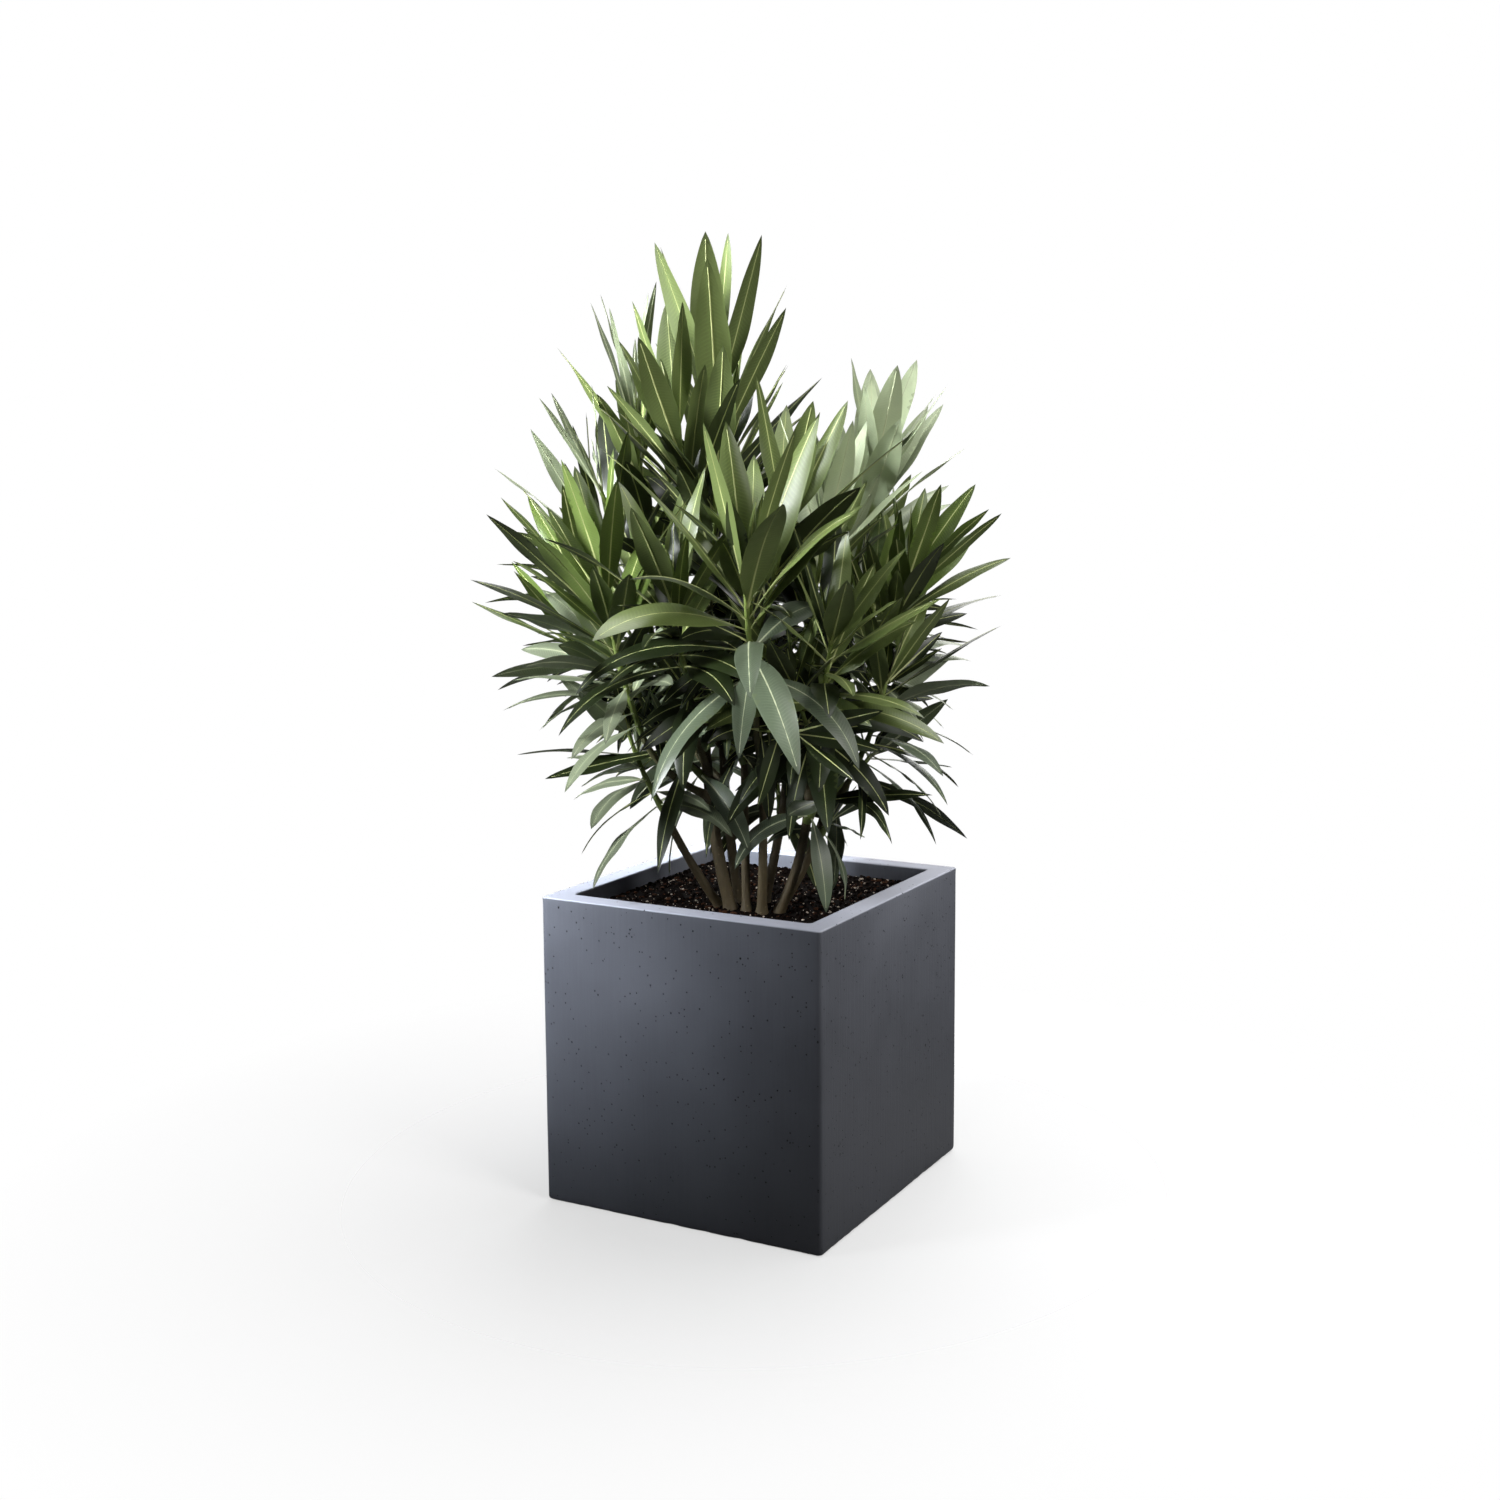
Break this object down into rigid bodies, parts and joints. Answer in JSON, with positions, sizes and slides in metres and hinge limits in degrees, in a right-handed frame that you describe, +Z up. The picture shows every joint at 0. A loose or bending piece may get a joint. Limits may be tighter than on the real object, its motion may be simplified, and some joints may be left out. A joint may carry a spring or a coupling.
{
  "type": "potted oleander",
  "caption": "Oleander shrub with long narrow leaves in whorls on slender bare-footed canes, growing in a plain square planter filled with dark soil.",
  "frame": {"origin": "middle of the planter's flat underside", "axes": "+Z up, the planter's sides face along X and Y; the plant's fullest side faces between +X and -Y"},
  "size_m": [0.5092, 0.5583, 0.9209],
  "materials": {
    "planter": "matt blue-grey fibre-clay, finely pitted",
    "soil": "loose dark potting soil with pale specks",
    "cane": "smooth olive-brown bark",
    "bough": "young greenish bark",
    "foliage": "leathery satin leaves"
  },
  "bodies": {
    "root": {"planter": "planter", "soil": "soil", "cane_1": "cane", "cane_2": "cane", "cane_3": "cane", "cane_4": "cane", "cane_5": "cane", "cane_6": "cane", "cane_7": "cane", "cane_8": "cane", "cane_9": "cane", "bough_top": "bough", "bough_left_front": "bough", "bough_front_left": "bough", "bough_top_left": "bough", "bough_left": "bough", "bough_centre_high": "bough", "bough_centre_front": "bough", "bough_inner_right": "bough", "bough_right": "bough", "bough_right_low": "bough", "bough_right_high": "bough", "bough_back_right": "bough", "bough_back_high": "bough", "bough_back_left": "bough", "foliage_centre_front": "foliage", "foliage_centre_high": "foliage", "foliage_top": "foliage", "foliage_left_front": "foliage", "foliage_front_left": "foliage", "foliage_right_front": "foliage", "foliage_inner_right": "foliage", "foliage_right_high": "foliage", "foliage_left": "foliage", "foliage_right": "foliage", "foliage_top_left": "foliage", "foliage_right_low": "foliage", "foliage_left_low": "foliage", "foliage_left_back": "foliage", "foliage_back_high": "foliage", "foliage_back_right": "foliage", "foliage_back_left": "foliage", "foliage_back_low": "foliage", "foliage_skirt_front": "foliage", "foliage_skirt_left": "foliage", "foliage_skirt_middle": "foliage", "foliage_skirt_right": "foliage", "foliage_skirt_low_right": "foliage", "foliage_skirt_back": "foliage"}
  },
  "joints": []
}
